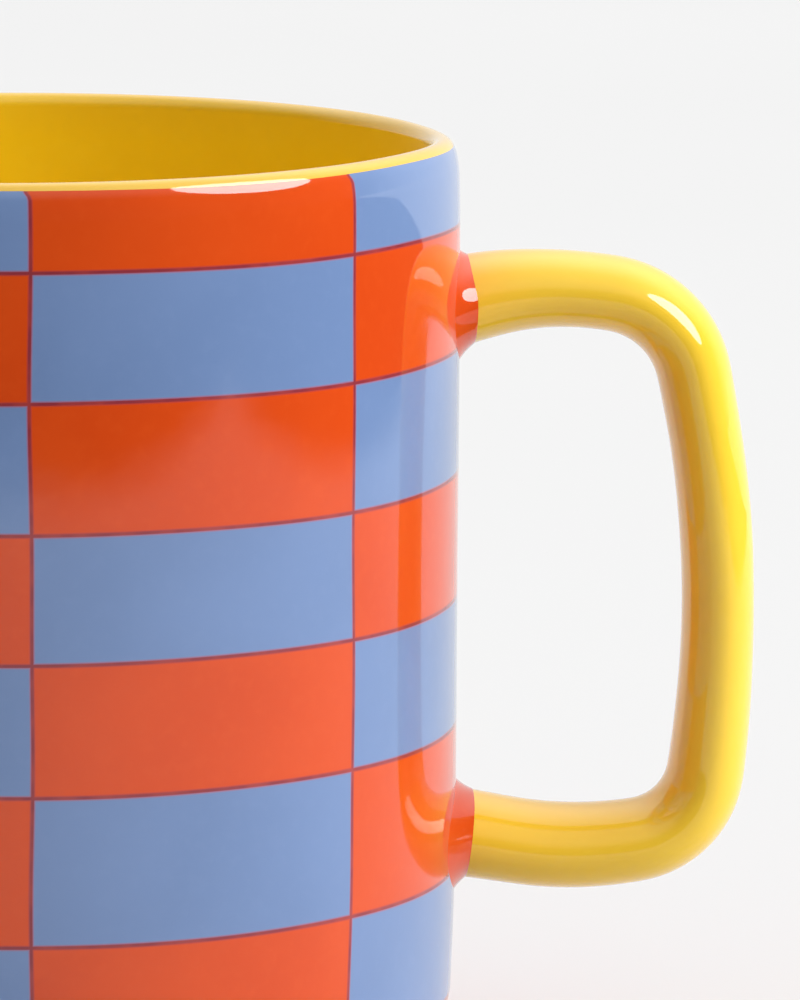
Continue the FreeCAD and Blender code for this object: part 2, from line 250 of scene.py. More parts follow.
def set_normals(mesh):
    """Smooth normals from the surface's own formula; walls between sheets stay flat."""
    corner_point = np.zeros(len(mesh.loops), int)
    mesh.loops.foreach_get("vertex_index", corner_point)
    made = np.zeros(len(mesh.vertices) * 3)
    mesh.attributes["made_normal"].data.foreach_get("vector", made)
    kinds = np.zeros(len(mesh.polygons), int)
    mesh.attributes["made_kind"].data.foreach_get("value", kinds)
    sizes = np.zeros(len(mesh.polygons), int)
    mesh.polygons.foreach_get("loop_total", sizes)
    flat = np.zeros(len(mesh.polygons) * 3)
    mesh.polygons.foreach_get("normal", flat)
    kind = np.repeat(kinds, sizes)
    flat = np.repeat(flat.reshape(-1, 3), sizes, axis=0)
    smooth = made.reshape(-1, 3)[corner_point]
    normals = np.where(kind[:, None] == 0, smooth, np.where(kind[:, None] == 1, -smooth, flat))
    mesh.normals_split_custom_set(normals.tolist())
    mesh.attributes.remove(mesh.attributes["made_normal"])
    mesh.attributes.remove(mesh.attributes["made_kind"])


def make_sheet(name, surface, turns, lengths, cells, thickness, values=None):
    """A closed sheet on a surface of turns and lengths, as thick as it says, inwards."""
    turn, s = np.meshgrid(turns, lengths)
    turn, s = turn.ravel(), s.ravel()
    top = surface(turn, s)
    normal = normals_of(surface, turn, s)
    points = np.vstack([top, top - normal * thickness])
    faces, kinds = sheet_faces(cells, len(turns), len(top))
    both = np.vstack([normal, normal])
    values = {key: np.tile(value.ravel(), 2) for key, value in (values or {}).items()}
    return make_mesh(name, points, faces, both, kinds, values)


# ---- checkerboard ----

# distances from a tile's edge at which its grid has marks; the last is where shading ends
EDGE_STEPS = [0.12, 0.3, 0.6, 1.0, 1.6]
EDGE_REACH = EDGE_STEPS[-1]


def tile_marks(low, high, step):
    """Places across one tile, closer together near its two edges."""
    near = [low + offset for offset in EDGE_STEPS if low + 2 * offset < high]
    far = [high - offset for offset in reversed(EDGE_STEPS) if low + 2 * offset < high]
    start, stop = near[-1], far[0]
    count = max(int(math.ceil((stop - start) / step)), 1)
    middle = np.linspace(start, stop, count + 1)[1:-1]
    return [low] + near + list(middle) + far


def checker_axes():
    """Grid marks round and up the vessel, and which tile or line each cell belongs to."""
    half = LINE_WIDTH / 2
    turns, column_of = [], []
    width = COLUMN_ANGLE * BODY_RADIUS
    for column in range(COLUMNS):
        seam = FIRST_SEAM + column * COLUMN_ANGLE
        marks = tile_marks(half, width - half, 0.7)
        marks = marks + [width - half, width]
        turns += [seam + mark / BODY_RADIUS for mark in marks]
        column_of += [column] * (len(marks) - 2) + [-1, -1]
    lines = [z - SIDE_Z0 for z in ROW_LINES]
    lows = [FOOT_S] + [line + half for line in lines]
    highs = [line - half for line in lines] + [RIM_S]
    lengths, row_of = [], []
    for row, (low, high) in enumerate(zip(lows, highs)):
        marks = tile_marks(low, high, 0.45 if row == len(lines) else 0.9)
        lengths += marks
        row_of += [row] * len(marks)
        lengths += [high] if row == len(lines) else [high, high + half]
        row_of += [] if row == len(lines) else [-1, -1]
    return np.array(turns), np.array(column_of), np.array(lengths), np.array(row_of)


def edge_distance(turns, lengths):
    """Distance of each grid point to the nearest tile edge, in mm."""
    half = LINE_WIDTH / 2
    width = COLUMN_ANGLE * BODY_RADIUS
    across = ((turns - FIRST_SEAM) * BODY_RADIUS) % width
    across = np.minimum(across, width - across) - half
    lines = np.array([z - SIDE_Z0 for z in ROW_LINES])
    up = np.abs(lengths[:, None] - lines[None, :]).min(axis=1) - half
    return np.minimum(across[None, :], up[:, None])


def make_checkerboard():
    """Orange tiles, blue tiles and the dark overlap lines, all on one surface."""
    turns, column_of, lengths, row_of = checker_axes()
    rows, columns = row_of[:, None], column_of[None, :]
    tile = (rows >= 0) & (columns >= 0)
    orange = tile & ((rows + columns) % 2 == 1)
    blue = tile & ~orange
    edge = edge_distance(turns, lengths)
    near = {"edge": np.clip(edge / EDGE_REACH, 0.0, 1.0)}
    beside = np.zeros((len(lengths), len(turns)))
    for cells, value in ((blue, 1.0), (orange, -1.0)):
        full = np.vstack([cells, np.zeros((1, len(turns)), bool)])
        for down in (0, 1):
            for left in (0, 1):
                touch = np.roll(np.roll(full, down, axis=0), left, axis=1)
                beside = np.where(touch, value, beside)
    coats = {
        "orange": ("orange_glaze_tiles", orange, near),
        "blue": ("blue_glaze_tiles", blue, near),
        "lines": ("glaze_overlap_lines", ~tile, {"beside": beside}),
    }
    return {
        kind: make_sheet(name, body_surface, turns, lengths, cells, GLAZE, values)
        for kind, (name, cells, values) in coats.items()
    }


def make_liner():
    """Yellow glaze from the rim edge over the lip, down the bore and across the floor."""
    turns, _, _, _ = checker_axes()
    lengths = np.concatenate([
        np.linspace(RIM_S, LIP_END_S, 30)[:-1],
        np.linspace(LIP_END_S, BORE_END_S, 24)[:-1],
        np.linspace(BORE_END_S, FLOOR_S, 14)[:-1],
        np.linspace(FLOOR_S, CENTRE_S, 10),
    ])
    cells = np.ones((len(lengths) - 1, len(turns)), bool)
    # how much of the lip colour each ring of the liner takes: partly thinner glaze, partly painted shade
    lip_thin_and_shaded = 1 - smooth_step(lengths, RIM_S + 1.6, LIP_END_S + 0.6)
    lip = np.repeat(lip_thin_and_shaded[:, None], len(turns), axis=1)
    return make_sheet("liner_glaze", body_surface, turns, lengths, cells, GLAZE, {"lip": lip})


# ---- handle ----

# corners of the handle's centre line: x, z and the radius that rounds each
HANDLE_CORNERS = [
    (46.6, 82.44, 0.0),
    (56.0, 84.7, 38.3),
    (72.0, 82.8, 10.6),
    (77.6, 52.0, 123.5),
    (74.0, 25.3, 8.8),
    (59.9, 23.5, 40.2),
    (46.6, 25.7, 0.0),
]
# share of the way along the handle, and half the glazed rod's thickness there
HANDLE_RADII = [
    (0.0, 4.75),
    (0.035, 4.6),
    (0.055, 4.42),
    (0.095, 4.15),
    (0.14, 4.04),
    (0.25, 3.97),
    (0.5, 3.84),
    (0.68, 4.05),
    (0.8, 4.4),
    (0.93, 4.5),
    (0.965, 4.62),
    (1.0, 4.75),
]
HANDLE_EXTRA = 2.9  # the rod is oval: how much more its half width is than its half thickness
HANDLE_STEPS = 420
HANDLE_SIDES = 72


def round_path(corners, samples=4000):
    """Points along straight runs joined by tangent arcs, evenly spaced."""
    places = np.array([corner[:2] for corner in corners])
    points = [places[0]]
    for index in range(1, len(corners) - 1):
        back = places[index - 1] - places[index]
        ahead = places[index + 1] - places[index]
        back, ahead = back / np.linalg.norm(back), ahead / np.linalg.norm(ahead)
        half = math.acos(float(back @ ahead)) / 2
        radius = corners[index][2]
        middle = (back + ahead) / np.linalg.norm(back + ahead)
        centre = places[index] + middle * radius / math.sin(half)
        first = places[index] + back * radius / math.tan(half) - centre
        last = places[index] + ahead * radius / math.tan(half) - centre
        start = math.atan2(first[1], first[0])
        sweep = (math.atan2(last[1], last[0]) - start + math.pi) % (2 * math.pi) - math.pi
        angles = start + sweep * np.linspace(0, 1, 60)
        points += list(centre + radius * np.stack([np.cos(angles), np.sin(angles)], axis=1))
    points = np.array(points + [places[-1]])
    lengths = np.concatenate([[0], np.cumsum(np.linalg.norm(np.diff(points, axis=0), axis=1))])
    even = np.linspace(0, lengths[-1], samples)
    return np.stack([np.interp(even, lengths, points[:, 0]), np.interp(even, lengths, points[:, 1])], 1)


def soften(values, reach):
    """Moving average that keeps both ends where they are."""
    kernel = np.hanning(2 * reach + 1)
    kernel /= kernel.sum()
    before = 2 * values[0] - values[reach:0:-1]
    after = 2 * values[-1] - values[-2:-reach - 2:-1]
    return np.convolve(np.concatenate([before, values, after]), kernel, mode="valid")


def handle_line():
    """Centre line, unit normal (away from the finger gap) and radius along the handle."""
    path = round_path(HANDLE_CORNERS)
    path = np.stack([soften(path[:, 0], 90), soften(path[:, 1], 90)], axis=1)
    share = np.linspace(0, 1, len(path))
    places, radii = np.array(HANDLE_RADII).T
    radius = soften(np.interp(share, places, radii), 120)
    tangent = np.gradient(path, axis=0)
    tangent /= np.linalg.norm(tangent, axis=1, keepdims=True)
    normal = np.stack([-tangent[:, 1], tangent[:, 0]], axis=1)
    return path, normal, radius


HANDLE_PATH, HANDLE_NORMAL, HANDLE_RADIUS = handle_line()


def rod_surface(turn, share):
    """A point of the handle's glaze: share of the way along, and an angle round the rod."""
    along = np.linspace(0, 1, len(HANDLE_PATH))
    x = np.interp(share, along, HANDLE_PATH[:, 0])
    z = np.interp(share, along, HANDLE_PATH[:, 1])
    nx = np.interp(share, along, HANDLE_NORMAL[:, 0])
    nz = np.interp(share, along, HANDLE_NORMAL[:, 1])
    radius = np.interp(share, along, HANDLE_RADIUS)
    radius = radius + 0.05 * np.sin(17 * share + 0.7) * np.sin(turn + 1.0)
    radius = radius + 0.03 * np.sin(31 * share + 2 * turn)
    out, side = radius * np.cos(turn), (radius + HANDLE_EXTRA) * np.sin(turn)
    return np.stack([x + nx * out, side, z + nz * out], axis=-1)


def rod_normals(turn, share):
    around = rod_surface(turn + 0.002, share) - rod_surface(turn - 0.002, share)
    low, high = np.clip(share - 0.001, 0, 1), np.clip(share + 0.001, 0, 1)
    along = rod_surface(turn, high) - rod_surface(turn, low)
    normal = np.cross(along, around)
    return normal / np.linalg.norm(normal, axis=-1, keepdims=True)


def make_handle_glaze():
    """The glazed rod, closed at both ends inside the collars."""
    turns = np.linspace(0, 2 * math.pi, HANDLE_SIDES, endpoint=False)
    shares = np.linspace(0, 1, HANDLE_STEPS)
    turn, share = np.meshgrid(turns, shares)
    points = rod_surface(turn.ravel(), share.ravel())
    normals = rod_normals(turn.ravel(), share.ravel())
    j, k = np.meshgrid(np.arange(HANDLE_STEPS - 1), np.arange(HANDLE_SIDES), indexing="ij")
    j, k = j.ravel(), k.ravel()
    k1 = (k + 1) % HANDLE_SIDES
    n = HANDLE_SIDES
    faces = np.stack([j * n + k, (j + 1) * n + k, (j + 1) * n + k1, j * n + k1], axis=1)
    ends = []
    for row, flip in ((0, False), (HANDLE_STEPS - 1, True)):
        centre = len(points)
        middle = points[row * n:(row + 1) * n].mean(axis=0)
        points = np.vstack([points, middle])
        normals = np.vstack([normals, [(-1.0, 0.0, 0.0)]])
        for side in range(n):
            a, b = row * n + side, row * n + (side + 1) % n
            ends.append((centre, b, a, a) if flip else (centre, a, b, b))
    kinds = np.concatenate([np.zeros(len(faces), int), np.full(len(ends), 2)])
    return make_polygons("handle_glaze_sleeve", points, list(map(tuple, faces)) + ends, normals, kinds)


def make_polygons(name, points, faces, normals, kinds):
    """A mesh from faces that may repeat a corner, such as the triangles of an end cap."""
    faces = [tuple(dict.fromkeys(face)) for face in faces]
    mesh = bpy.data.meshes.new(name)
    mesh.from_pydata((points * MM).tolist(), [], faces)
    layer = mesh.attributes.new("made_normal", "FLOAT_VECTOR", "POINT")
    layer.data.foreach_set("vector", normals.astype(np.float32).ravel())
    layer = mesh.attributes.new("made_kind", "INT", "FACE")
    layer.data.foreach_set("value", kinds.astype(np.int32))
    mesh.polygons.foreach_set("use_smooth", np.ones(len(mesh.polygons), bool))
    set_normals(mesh)
    piece = bpy.data.objects.new(name, mesh)
    bpy.context.collection.objects.link(piece)
    return piece


# ---- collars ----

COLLARS = {
    # ring: x, z, half height and lean; foot on the wall: z, half height and half width
    "upper": {"ring": (49.85, 82.95, 4.62, 1.5), "foot": (82.45, 6.0, 9.5)},
    "lower": {"ring": (49.7, 25.5, 4.45, 2.6), "foot": (25.35, 6.0, 11.2)},
}
COLLAR_SIDES = 96
COLLAR_HOLLOW = 0.3  # 0 is a straight cone, 1 a quarter-round fillet
COLLAR_BACK_X = 46.4
SLIP_SIDES = 48
SLIP_BACK_X = 46.3
SLIP_BORE = 2.6


def collar_profile(collar, turn):
    """Cross-section of a collar at an angle round it: wall foot, fillet and ring; make_collar adds the
    back inside.
    """
    ring_x, ring_z, ring_radius, lean = collar["ring"]
    foot_z, foot_radius, foot_half = collar["foot"]
    ring_half = ring_radius + HANDLE_EXTRA
    points = []
    for t in np.linspace(0, 1, 22):
        curve = math.pi / 2 * t
        inward = (1 - COLLAR_HOLLOW) * t + COLLAR_HOLLOW * math.sin(curve)
        outward = (1 - COLLAR_HOLLOW) * t + COLLAR_HOLLOW * (1 - math.cos(curve))
        radius = foot_radius + (ring_radius - foot_radius) * inward
        half = foot_half + (ring_half - foot_half) * inward
        centre_z = foot_z + (ring_z - foot_z) * outward
        y = half * math.sin(turn)
        z = centre_z + radius * math.cos(turn)
        wall_x = math.sqrt(side_radius(np.array([z]))[0] ** 2 - y**2) - 0.12
        end_x = ring_x + (z - ring_z) * math.tan(math.radians(lean))
        points.append((wall_x + (end_x - wall_x) * outward, y, z))
    x, y, z = points[-1]
    for drop, advance in ((0.10, 0.07), (0.28, 0.10), (0.7, 0.05), (1.2, -0.3)):
        y = (ring_half - drop) * math.sin(turn)
        points.append((x + advance, y, ring_z + (ring_radius - drop) * math.cos(turn)))
    return points


def make_ring(name, loops):
    """A closed ring from its cross-sections, one after the other round it."""
    points = np.array(loops)
    sides, count = points.shape[:2]
    k, j = np.meshgrid(np.arange(sides), np.arange(count), indexing="ij")
    k, j = k.ravel(), j.ravel()
    k1, j1 = (k + 1) % sides, (j + 1) % count
    faces = np.stack([k * count + j, k1 * count + j, k1 * count + j1, k * count + j1], axis=1)
    mesh = bpy.data.meshes.new(name)
    mesh.from_pydata((points.reshape(-1, 3) * MM).tolist(), [], faces.tolist())
    mesh.polygons.foreach_set("use_smooth", np.ones(len(mesh.polygons), bool))
    piece = bpy.data.objects.new(name, mesh)
    bpy.context.collection.objects.link(piece)
    return piece


def make_collar(name, collar):
    """The glaze fillet round a handle joint, with a straight back inside the wall and rod."""
    loops = []
    for turn in np.linspace(0, 2 * math.pi, COLLAR_SIDES, endpoint=False):
        loop = collar_profile(collar, turn)
        foot_z, foot_radius, foot_half = collar["foot"]
        inner = collar["ring"][2] - 1.2
        for radius, half in ((inner, inner + HANDLE_EXTRA), (foot_radius, foot_half)):
            z = foot_z + radius * math.cos(turn)
            loop.append((COLLAR_BACK_X, half * math.sin(turn), z))
        loops.append(loop)
    return make_ring(name, loops)


def make_slip(name, collar):
    """The clay slip that bonds handle and wall, inside the collar."""
    ring_x, ring_z, ring_radius, _ = collar["ring"]
    foot_z, foot_radius, foot_half = collar["foot"]
    ring_half = ring_radius + HANDLE_EXTRA
    # x, z, half height and half width, from the back outwards and in again
    loop = [
        (SLIP_BACK_X, foot_z, foot_radius - 1.1, foot_half - 1.1),
        (ring_x - 0.7, ring_z, ring_radius - 0.55, ring_half - 0.55),
        (ring_x - 0.7, ring_z, SLIP_BORE, SLIP_BORE + HANDLE_EXTRA),
        (SLIP_BACK_X, foot_z, SLIP_BORE, SLIP_BORE + HANDLE_EXTRA),
    ]
    turns = np.linspace(0, 2 * math.pi, SLIP_SIDES, endpoint=False)
    loops = [
        [(x, half * math.sin(turn), z + high * math.cos(turn)) for x, z, high, half in loop]
        for turn in turns
    ]
    return make_ring(name, loops)


# ---- clay and the underside ----

FOOT_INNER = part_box("base_glaze")[1].x / MM
FOOT_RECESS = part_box("base_glaze")[1].z / MM
SHARP_ANGLE = math.radians(38)
CLAY_SIDE = (12.0, 95.0)  # heights between which the clay follows the side
CLAY_BORE_TOP = 96.0
CLAY_LIP_SINK = 0.2  # the clay's lip stays this far under the lowest part of the rim


def revolve(name, corners, sides=256):
    """A closed turned piece from its outline, corner by corner from the axis and back."""
    points, faces = [], []
    rings = []
    for radius, height in corners:
        if radius == 0:
            rings.append([len(points)] * sides)
            points.append((0.0, 0.0, height))
            continue
        rings.append(list(range(len(points), len(points) + sides)))
        for side in range(sides):
            turn = 2 * math.pi * side / sides
            points.append((radius * math.cos(turn), radius * math.sin(turn), height))
    for low, high in zip(rings, rings[1:]):
        for side in range(sides):
            step = (side + 1) % sides
            face = (low[side], low[step], high[step], high[side])
            face = tuple(dict.fromkeys(face))
            if len(face) > 2:
                faces.append(face)
    mesh = bpy.data.meshes.new(name)
    mesh.from_pydata((np.array(points) * MM).tolist(), [], faces)
    mesh.polygons.foreach_set("use_smooth", np.ones(len(mesh.polygons), bool))
    mesh.set_sharp_from_angle(angle=SHARP_ANGLE)
    piece = bpy.data.objects.new(name, mesh)
    bpy.context.collection.objects.link(piece)
    return piece


def arc_points(centre_x, centre_z, radius, start, stop, count):
    angles = np.radians(np.linspace(start, stop, count))
    return [(centre_x + radius * math.cos(a), centre_z + radius * math.sin(a)) for a in angles]


def make_clay():
    """The clay vessel: only its foot ring shows, between the tiles and the base glaze."""
    edge = 0.35
    foot_x, foot_z = FOOT_ARC.centre
    foot_outer = foot_x - FOOT_RISE
    corners = [(0, FOOT_RECESS), (FOOT_INNER - 0.3, FOOT_RECESS)]
    corners += arc_points(FOOT_INNER + edge, edge, edge, 180, 270, 6)
    corners += arc_points(foot_outer - edge, edge, edge, 270, 340, 6)
    corners += [(foot_x + 0.05, FOOT_RISE + 0.05)]
    corners += arc_points(foot_x, foot_z, FOOT_ARC.radius - GLAZE, -88, 0, 24)
    heights = np.linspace(*CLAY_SIDE, 30)
    corners += list(zip(side_radius(heights) - GLAZE, heights))
    lip_x, lip_z = LIP_ARC.centre
    lip_z -= RIM_DROP + CLAY_LIP_SINK
    corners += arc_points(lip_x, lip_z, LIP_ARC.radius - GLAZE, 25, 180, 14)
    wall = BORE_RADIUS + GLAZE
    turn_z = FLOOR_Z + BORE_CORNER
    corners += [(wall, z) for z in np.linspace(CLAY_BORE_TOP, turn_z + 2, 12)]
    corners += arc_points(BORE_RADIUS - BORE_CORNER, turn_z, BORE_CORNER + GLAZE, 0, -90, 14)
    corners += [(0, FLOOR_Z - GLAZE)]
    return revolve("clay_vessel", corners)


def make_base_glaze():
    """Glaze in the foot's recess, drawn up a little where it meets the ring."""
    low = FOOT_RECESS - GLAZE
    corners = [(0, low), (8.0, low), (16.0, low), (24.0, low), (30.0, low)]
    corners += [(FOOT_INNER - 1.0, low - 0.04), (FOOT_INNER - 0.4, low - 0.16), (FOOT_INNER, low - 0.4)]
    corners += [(FOOT_INNER, FOOT_RECESS), (0, FOOT_RECESS)]
    return revolve("base_glaze_disc", corners)


# ---- materials ----


class Nodes:
    """Short names for building a material's nodes."""

    def __init__(self, name):
        self.material = bpy.data.materials.new(name)
        self.material.use_nodes = True
        self.tree = self.material.node_tree
        self.shader = self.tree.nodes["Principled BSDF"]
        place = self.tree.nodes.new("ShaderNodeTexCoord")
        self.place = place.outputs["Object"]

    def link(self, output, target):
        self.tree.links.new(output, target)

    def noise(self, size_mm, detail=2.0, roughness=0.5, distortion=0.0):
        node = self.tree.nodes.new("ShaderNodeTexNoise")
        node.inputs["Scale"].default_value = 1 / (size_mm * MM)
        node.inputs["Detail"].default_value = detail
        node.inputs["Roughness"].default_value = roughness
        node.inputs["Distortion"].default_value = distortion
        self.link(self.place, node.inputs["Vector"])
        return node.outputs["Fac"]

    def cells(self, size_mm, output="Distance"):
        node = self.tree.nodes.new("ShaderNodeTexVoronoi")
        node.inputs["Scale"].default_value = 1 / (size_mm * MM)
        self.link(self.place, node.inputs["Vector"])
        return node.outputs[output]

    def ramp(self, value, low, high, out_low=0.0, out_high=1.0, smooth=True):
        node = self.tree.nodes.new("ShaderNodeMapRange")
        node.interpolation_type = "SMOOTHSTEP" if smooth else "LINEAR"
        node.inputs["From Min"].default_value = low
        node.inputs["From Max"].default_value = high
        node.inputs["To Min"].default_value = out_low
        node.inputs["To Max"].default_value = out_high
        self.link(value, node.inputs["Value"])
        return node.outputs["Result"]

    def maths(self, operation, first, second):
        node = self.tree.nodes.new("ShaderNodeMath")
        node.operation = operation
        for socket, value in zip(node.inputs, (first, second)):
            if isinstance(value, (int, float)):
                socket.default_value = value
            else:
                self.link(value, socket)
        return node.outputs[0]

    def mix(self, factor, first, second):
        node = self.tree.nodes.new("ShaderNodeMix")
        node.data_type = "RGBA"
        for socket, value in ((node.inputs[0], factor), (node.inputs[6], first), (node.inputs[7], second)):
            if isinstance(value, tuple):
                socket.default_value = (*value, 1.0)
            elif isinstance(value, (int, float)):
                socket.default_value = value
            else:
                self.link(value, socket)
        return node.outputs[2]

    def attribute(self, name):
        node = self.tree.nodes.new("ShaderNodeAttribute")
        node.attribute_name = name
        return node.outputs["Fac"]

    def bump(self, height, distance_mm, strength=1.0, base=None):
        node = self.tree.nodes.new("ShaderNodeBump")
        node.inputs["Strength"].default_value = strength
        node.inputs["Distance"].default_value = distance_mm * MM
        self.link(height, node.inputs["Height"])
        if base is not None:
            self.link(base, node.inputs["Normal"])
        return node.outputs["Normal"]


def finish_glaze(n, pits=None):
    """Gloss shared by every glaze: a slightly uneven sheen and a faint orange peel."""
    rough = n.ramp(n.noise(7.0, 2.0), 0.3, 0.7, 0.03, 0.05)
    n.link(rough, n.shader.inputs["Roughness"])
    peel = n.bump(n.noise(5.0, 1.0, 0.4), 0.03, 0.3)
    n.link(peel if pits is None else n.bump(pits, 0.05, -0.5, peel), n.shader.inputs["Normal"])
    n.shader.inputs["IOR"].default_value = 1.5
    n.shader.inputs["Sheen Weight"].default_value = 0.15
    n.shader.inputs["Sheen Roughness"].default_value = 0.3


def glaze_material(name, colour, deep, pale, edge=None, lip=None):
    """Glossy glaze: cloudy colour, a fine mottle and a few pinholes.

    edge is the colour at a tile's edge and how many mm it reaches; lip the colour over the lip, partly
    thinner glaze there and partly painted shade on the lip's top.
    """
    n = Nodes(name)
    cloud = n.ramp(n.noise(22.0, 2.0, 0.45, 0.3), 0.35, 0.65)
    shade = n.mix(cloud, deep, colour)
    fine = n.ramp(n.noise(1.6, 2.0, 0.5), 0.45, 0.8, 0.0, 0.16)
    shade = n.mix(fine, shade, pale)
    pick = n.tree.nodes.new("ShaderNodeSeparateColor")
    n.link(n.cells(6.5, "Color"), pick.inputs["Color"])
    rare = n.ramp(pick.outputs["Red"], 0.90, 0.91, smooth=False)
    dot = n.ramp(n.cells(6.5), 0.014, 0.03, 1.0, 0.0)
    pits = n.maths("MULTIPLY", rare, dot)
    shade = n.mix(n.maths("MULTIPLY", pits, 0.4), shade, (0.9, 0.82, 0.74))
    if edge is not None:
        line, reach = edge
        near = n.ramp(n.attribute("edge"), 0.0, reach / EDGE_REACH, 1.0, 0.0, smooth=False)
        shade = n.mix(near, shade, line)
    if lip is not None:
        # over the lip: partly thinner glaze, partly painted shade
        shade = n.mix(n.attribute("lip"), shade, lip)
    n.link(shade, n.shader.inputs["Base Color"])
    finish_glaze(n, pits)
    return n.material


def line_material():
    """Dark line where the orange glaze runs over the blue one, softer at both its edges."""
    n = Nodes("overlap_line_glaze")
    beside = n.attribute("beside")
    patch = n.ramp(n.noise(3.0, 2.0), 0.35, 0.7)
    core = n.mix(patch, (0.24, 0.032, 0.045), (0.33, 0.045, 0.045))
    shade = n.mix(n.ramp(beside, 0.55, 1.0, smooth=False), core, LINE_BY_BLUE)
    shade = n.mix(n.ramp(beside, -1.0, -0.45, 1.0, 0.0, smooth=False), shade, LINE_BY_ORANGE)
    n.link(shade, n.shader.inputs["Base Color"])
    finish_glaze(n)
    return n.material


def clay_material():
    """Bare fired stoneware: warm buff, iron specks, a dry grain."""
    n = Nodes("bare_stoneware")
    cloud = n.ramp(n.noise(9.0, 4.0, 0.6), 0.3, 0.7)
    shade = n.mix(cloud, (0.50, 0.41, 0.30), (0.66, 0.57, 0.45))
    grain = n.ramp(n.noise(0.35, 3.0, 0.7), 0.35, 0.7, 0.0, 0.35)
    shade = n.mix(grain, shade, (0.78, 0.70, 0.58))
    speck = n.ramp(n.cells(1.6), 0.05, 0.14, 0.8, 0.0)
    shade = n.mix(speck, shade, (0.13, 0.08, 0.05))
    n.link(shade, n.shader.inputs["Base Color"])
    n.link(n.ramp(n.noise(0.6, 2.0), 0.3, 0.7, 0.72, 0.9), n.shader.inputs["Roughness"])
    n.link(n.bump(n.noise(0.3, 4.0, 0.7), 0.06, 0.8), n.shader.inputs["Normal"])
    return n.material


# colour, deeper patches, paler mottle
ORANGE = ((0.640, 0.068, 0.008), (0.605, 0.060, 0.007), (0.70, 0.090, 0.014))
BLUE = ((0.158, 0.243, 0.447), (0.146, 0.227, 0.422), (0.185, 0.272, 0.48))
YELLOW = ((0.880, 0.585, 0.044), (0.855, 0.553, 0.037), (0.905, 0.62, 0.065))
# the liner is the handle's yellow glaze painted brighter: painted light for the light that bounces round
# inside the cup
LINER_LIT = ((0.935, 0.655, 0.016), (0.915, 0.625, 0.012), (0.95, 0.69, 0.03))
# the lip's colour is duller and darker: partly the thinner glaze over the lip, partly painted shade that
# tones down the light falling on its top
LIP_THIN_GLAZE_AND_SHADE = (0.74, 0.46, 0.065)
LINE_BY_ORANGE = (0.52, 0.055, 0.03)
LINE_BY_BLUE = (0.30, 0.16, 0.27)


def dress(piece, material):
    piece.data.materials.clear()
    piece.data.materials.append(material)


def place_piece(piece, node, material):
    dress(piece, material)
    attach(piece, "root")
    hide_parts(node)


def build_mug():
    clay = clay_material()
    orange = glaze_material("orange_glaze", *ORANGE, (LINE_BY_ORANGE, 0.12))
    blue = glaze_material("blue_glaze", *BLUE, (LINE_BY_BLUE, 0.15))
    yellow = glaze_material("yellow_glaze", *YELLOW)
    collar_glaze = glaze_material("collar_glaze", *ORANGE)
    board = make_checkerboard()
    place_piece(board["orange"], "orange_tiles", orange)
    place_piece(board["blue"], "blue_tiles", blue)
    place_piece(board["lines"], "tile_lines", line_material())
    # the liner's yellow is painted brighter for the light inside the cup, and its lip colour is partly
    # painted shade
    liner = glaze_material("liner_yellow_painted_light_and_shade", *LINER_LIT, lip=LIP_THIN_GLAZE_AND_SHADE)
    place_piece(make_liner(), "inner_glaze", liner)
    place_piece(make_handle_glaze(), "handle_glaze", yellow)
    for side, collar in COLLARS.items():
        piece = make_collar(f"{side}_collar_ring", collar)
        place_piece(piece, f"{side}_collar_glaze", collar_glaze)
        slip = make_slip(f"{side}_slip_clay", collar)
        place_piece(slip, f"{side}_slip_joint", clay)
    place_piece(make_clay(), "vessel", clay)
    place_piece(make_base_glaze(), "base_glaze", yellow)
    dress(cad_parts["handle"], clay)


# ---- stage, light and camera ----


def make_floor():
    mesh = bpy.data.meshes.new("floor")
    reach = 8.0
    corners = [(-reach, -reach, 0), (reach, -reach, 0), (reach, reach, 0), (-reach, reach, 0)]
    mesh.from_pydata(corners, [], [(0, 1, 2, 3)])
    floor = bpy.data.objects.new("floor", mesh)
    bpy.context.collection.objects.link(floor)
    n = Nodes("floor_paper")
    shade = n.mix(n.ramp(n.noise(400.0, 2.0), 0.3, 0.7), (0.645, 0.645, 0.645), (0.655, 0.655, 0.655))
    n.link(shade, n.shader.inputs["Base Color"])
    n.shader.inputs["Roughness"].default_value = 0.9
    n.shader.inputs["Specular IOR Level"].default_value = 0.1
    mesh.materials.append(n.material)


TABLE_Z = 0.0015
TABLE_FADE = 0.09
# The room is dark past the edges of the pale table: what the lower wall reflects. Each card
# starts at a point, runs along its local X for its length, and spreads out along local Y.
DARK_ROOM = {
    "room_ahead": ((0.0, -0.49), 194.0, (-8.0, 8.0), 8.0),
    "room_right": ((0.52, -0.36), -87.4, (-0.8, 0.0), 8.0),
}


def make_card(name, start, turn, run, depth):
    """A flat dark card that only reflections see, fading in from its near edge."""
    low, high = run
    near = -TABLE_FADE / 2
    corners = [(low, near, 0), (high, near, 0), (high, depth, 0), (low, depth, 0)]
    mesh = bpy.data.meshes.new(name)
    mesh.from_pydata(corners, [], [(0, 1, 2, 3)])
    card = bpy.data.objects.new(name, mesh)
    card.location = (*start, TABLE_Z)
    card.rotation_euler.z = math.radians(turn)
    bpy.context.collection.objects.link(card)
    n = Nodes(name)
    split = n.tree.nodes.new("ShaderNodeSeparateXYZ")
    n.link(n.place, split.inputs[0])
    fade = n.ramp(split.outputs["Y"], near, TABLE_FADE / 2)
    n.link(fade, n.shader.inputs["Alpha"])
    n.shader.inputs["Base Color"].default_value = (0, 0, 0, 1)
    n.shader.inputs["Specular IOR Level"].default_value = 0.0
    mesh.materials.append(n.material)
    for ray in ("camera", "diffuse", "shadow", "transmission"):
        setattr(card, f"visible_{ray}", False)


def toward(azimuth, elevation):
    a, e = math.radians(azimuth), math.radians(elevation)
    return Vector((math.cos(a) * math.cos(e), math.sin(a) * math.cos(e), math.sin(e)))


